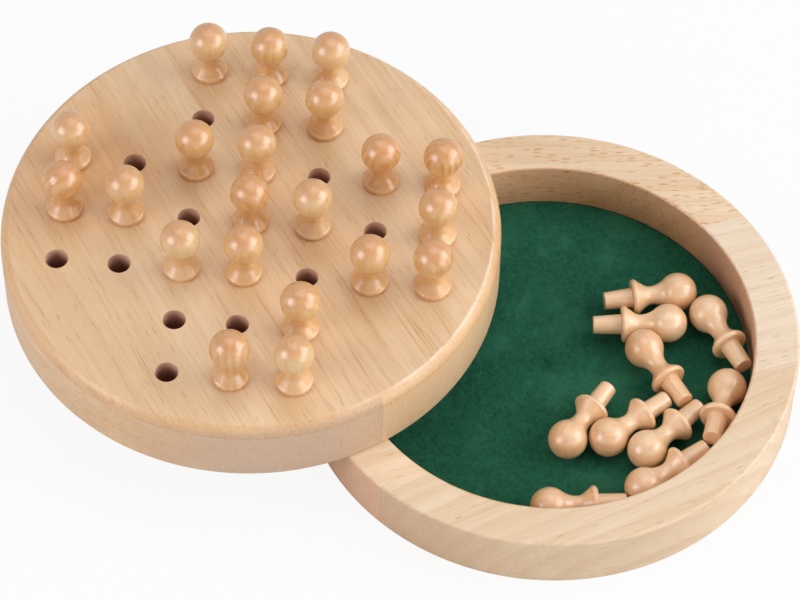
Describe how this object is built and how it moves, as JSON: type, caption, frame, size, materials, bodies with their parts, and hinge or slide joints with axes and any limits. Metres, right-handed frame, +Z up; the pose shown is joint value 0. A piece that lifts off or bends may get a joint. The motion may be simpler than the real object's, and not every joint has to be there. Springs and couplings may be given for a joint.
{
  "type": "peg solitaire board",
  "caption": "Round wooden peg solitaire board that swivels on a felt-lined round tray holding the pegs out of play.",
  "frame": {"origin": "centre of the round tray's underside", "axes": "+Z up, -Z out of the underside that it rests on; +X along the longest extent, from the swung-out board towards the tray"},
  "size_m": [0.2882, 0.2074, 0.075],
  "materials": {
    "rim_wood": "smooth oiled, fine short pores",
    "board_wood": "satin, short brown pores",
    "base_wood": "plain thin plywood",
    "green_felt": "short matt nap",
    "peg_wood_lacquered": "turned and lacquered",
    "peg_wood_plain": "turned, satin",
    "screw_steel": "bright steel, slotted head"
  },
  "bodies": {
    "tray": {"rim_back": "rim_wood", "rim_left": "rim_wood", "rim_right": "rim_wood", "rim_front": "rim_wood", "tray_base": "base_wood", "felt_liner": "green_felt"},
    "board": {"board_stave_left": "board_wood", "board_stave_right": "board_wood", "pivot_screw": "screw_steel"},
    "play_row1_col3": {"board_peg_row1_col3": "peg_wood_lacquered"},
    "play_row1_col4": {"board_peg_row1_col4": "peg_wood_lacquered"},
    "play_row1_col5": {"board_peg_row1_col5": "peg_wood_lacquered"},
    "play_row2_col4": {"board_peg_row2_col4": "peg_wood_lacquered"},
    "play_row2_col5": {"board_peg_row2_col5": "peg_wood_lacquered"},
    "play_row3_col1": {"board_peg_row3_col1": "peg_wood_lacquered"},
    "play_row3_col3": {"board_peg_row3_col3": "peg_wood_lacquered"},
    "play_row3_col4": {"board_peg_row3_col4": "peg_wood_lacquered"},
    "play_row3_col6": {"board_peg_row3_col6": "peg_wood_lacquered"},
    "play_row3_col7": {"board_peg_row3_col7": "peg_wood_lacquered"},
    "play_row4_col1": {"board_peg_row4_col1": "peg_wood_lacquered"},
    "play_row4_col2": {"board_peg_row4_col2": "peg_wood_lacquered"},
    "play_row4_col4": {"board_peg_row4_col4": "peg_wood_lacquered"},
    "play_row4_col5": {"board_peg_row4_col5": "peg_wood_lacquered"},
    "play_row4_col7": {"board_peg_row4_col7": "peg_wood_lacquered"},
    "play_row5_col3": {"board_peg_row5_col3": "peg_wood_lacquered"},
    "play_row5_col4": {"board_peg_row5_col4": "peg_wood_lacquered"},
    "play_row5_col6": {"board_peg_row5_col6": "peg_wood_lacquered"},
    "play_row5_col7": {"board_peg_row5_col7": "peg_wood_lacquered"},
    "play_row6_col5": {"board_peg_row6_col5": "peg_wood_lacquered"},
    "play_row7_col4": {"board_peg_row7_col4": "peg_wood_lacquered"},
    "play_row7_col5": {"board_peg_row7_col5": "peg_wood_lacquered"},
    "loose_1": {"loose_peg_1": "peg_wood_plain"},
    "loose_2": {"loose_peg_2": "peg_wood_plain"},
    "loose_3": {"loose_peg_3": "peg_wood_plain"},
    "loose_4": {"loose_peg_4": "peg_wood_plain"},
    "loose_5": {"loose_peg_5": "peg_wood_plain"},
    "loose_6": {"loose_peg_6": "peg_wood_plain"},
    "loose_7": {"loose_peg_7": "peg_wood_plain"},
    "loose_8": {"loose_peg_8": "peg_wood_plain"},
    "loose_9": {"loose_peg_9": "peg_wood_plain"},
    "loose_10": {"loose_peg_10": "peg_wood_plain"}
  },
  "joints": [
    {"name": "board_swivel", "type": "hinge", "parent": "tray", "child": "board", "pos_m": [-0.03938, 0.07193, 0.0238], "axis": [0, 0, -1], "range_deg": [-85.8, 94.2]},
    {"name": "lift_row1_col3", "type": "slide", "parent": "board", "child": "play_row1_col3", "axis": [0, 0, 1], "range_m": [0, 0.02]},
    {"name": "lift_row1_col4", "type": "slide", "parent": "board", "child": "play_row1_col4", "axis": [0, 0, 1], "range_m": [0, 0.02]},
    {"name": "lift_row1_col5", "type": "slide", "parent": "board", "child": "play_row1_col5", "axis": [0, 0, 1], "range_m": [0, 0.02]},
    {"name": "lift_row2_col4", "type": "slide", "parent": "board", "child": "play_row2_col4", "axis": [0, 0, 1], "range_m": [0, 0.02]},
    {"name": "lift_row2_col5", "type": "slide", "parent": "board", "child": "play_row2_col5", "axis": [0, 0, 1], "range_m": [0, 0.02]},
    {"name": "lift_row3_col1", "type": "slide", "parent": "board", "child": "play_row3_col1", "axis": [0, 0, 1], "range_m": [0, 0.02]},
    {"name": "lift_row3_col3", "type": "slide", "parent": "board", "child": "play_row3_col3", "axis": [0, 0, 1], "range_m": [0, 0.02]},
    {"name": "lift_row3_col4", "type": "slide", "parent": "board", "child": "play_row3_col4", "axis": [0, 0, 1], "range_m": [0, 0.02]},
    {"name": "lift_row3_col6", "type": "slide", "parent": "board", "child": "play_row3_col6", "axis": [0, 0, 1], "range_m": [0, 0.02]},
    {"name": "lift_row3_col7", "type": "slide", "parent": "board", "child": "play_row3_col7", "axis": [0, 0, 1], "range_m": [0, 0.02]},
    {"name": "lift_row4_col1", "type": "slide", "parent": "board", "child": "play_row4_col1", "axis": [0, 0, 1], "range_m": [0, 0.02]},
    {"name": "lift_row4_col2", "type": "slide", "parent": "board", "child": "play_row4_col2", "axis": [0, 0, 1], "range_m": [0, 0.02]},
    {"name": "lift_row4_col4", "type": "slide", "parent": "board", "child": "play_row4_col4", "axis": [0, 0, 1], "range_m": [0, 0.02]},
    {"name": "lift_row4_col5", "type": "slide", "parent": "board", "child": "play_row4_col5", "axis": [0, 0, 1], "range_m": [0, 0.02]},
    {"name": "lift_row4_col7", "type": "slide", "parent": "board", "child": "play_row4_col7", "axis": [0, 0, 1], "range_m": [0, 0.02]},
    {"name": "lift_row5_col3", "type": "slide", "parent": "board", "child": "play_row5_col3", "axis": [0, 0, 1], "range_m": [0, 0.02]},
    {"name": "lift_row5_col4", "type": "slide", "parent": "board", "child": "play_row5_col4", "axis": [0, 0, 1], "range_m": [0, 0.02]},
    {"name": "lift_row5_col6", "type": "slide", "parent": "board", "child": "play_row5_col6", "axis": [0, 0, 1], "range_m": [0, 0.02]},
    {"name": "lift_row5_col7", "type": "slide", "parent": "board", "child": "play_row5_col7", "axis": [0, 0, 1], "range_m": [0, 0.02]},
    {"name": "lift_row6_col5", "type": "slide", "parent": "board", "child": "play_row6_col5", "axis": [0, 0, 1], "range_m": [0, 0.02]},
    {"name": "lift_row7_col4", "type": "slide", "parent": "board", "child": "play_row7_col4", "axis": [0, 0, 1], "range_m": [0, 0.02]},
    {"name": "lift_row7_col5", "type": "slide", "parent": "board", "child": "play_row7_col5", "axis": [0, 0, 1], "range_m": [0, 0.02]},
    {"name": "lift_loose_1", "type": "slide", "parent": "tray", "child": "loose_1", "axis": [0, 0, 1], "range_m": [0, 0.03]},
    {"name": "lift_loose_2", "type": "slide", "parent": "tray", "child": "loose_2", "axis": [0, 0, 1], "range_m": [0, 0.03]},
    {"name": "lift_loose_3", "type": "slide", "parent": "tray", "child": "loose_3", "axis": [0, 0, 1], "range_m": [0, 0.03]},
    {"name": "lift_loose_4", "type": "slide", "parent": "tray", "child": "loose_4", "axis": [0, 0, 1], "range_m": [0, 0.03]},
    {"name": "lift_loose_5", "type": "slide", "parent": "tray", "child": "loose_5", "axis": [0, 0, 1], "range_m": [0, 0.03]},
    {"name": "lift_loose_6", "type": "slide", "parent": "tray", "child": "loose_6", "axis": [0, 0, 1], "range_m": [0, 0.03]},
    {"name": "lift_loose_7", "type": "slide", "parent": "tray", "child": "loose_7", "axis": [0, 0, 1], "range_m": [0, 0.03]},
    {"name": "lift_loose_8", "type": "slide", "parent": "tray", "child": "loose_8", "axis": [0, 0, 1], "range_m": [0, 0.03]},
    {"name": "lift_loose_9", "type": "slide", "parent": "tray", "child": "loose_9", "axis": [0, 0, 1], "range_m": [0, 0.03]},
    {"name": "lift_loose_10", "type": "slide", "parent": "tray", "child": "loose_10", "axis": [0, 0, 1], "range_m": [0, 0.03]}
  ]
}
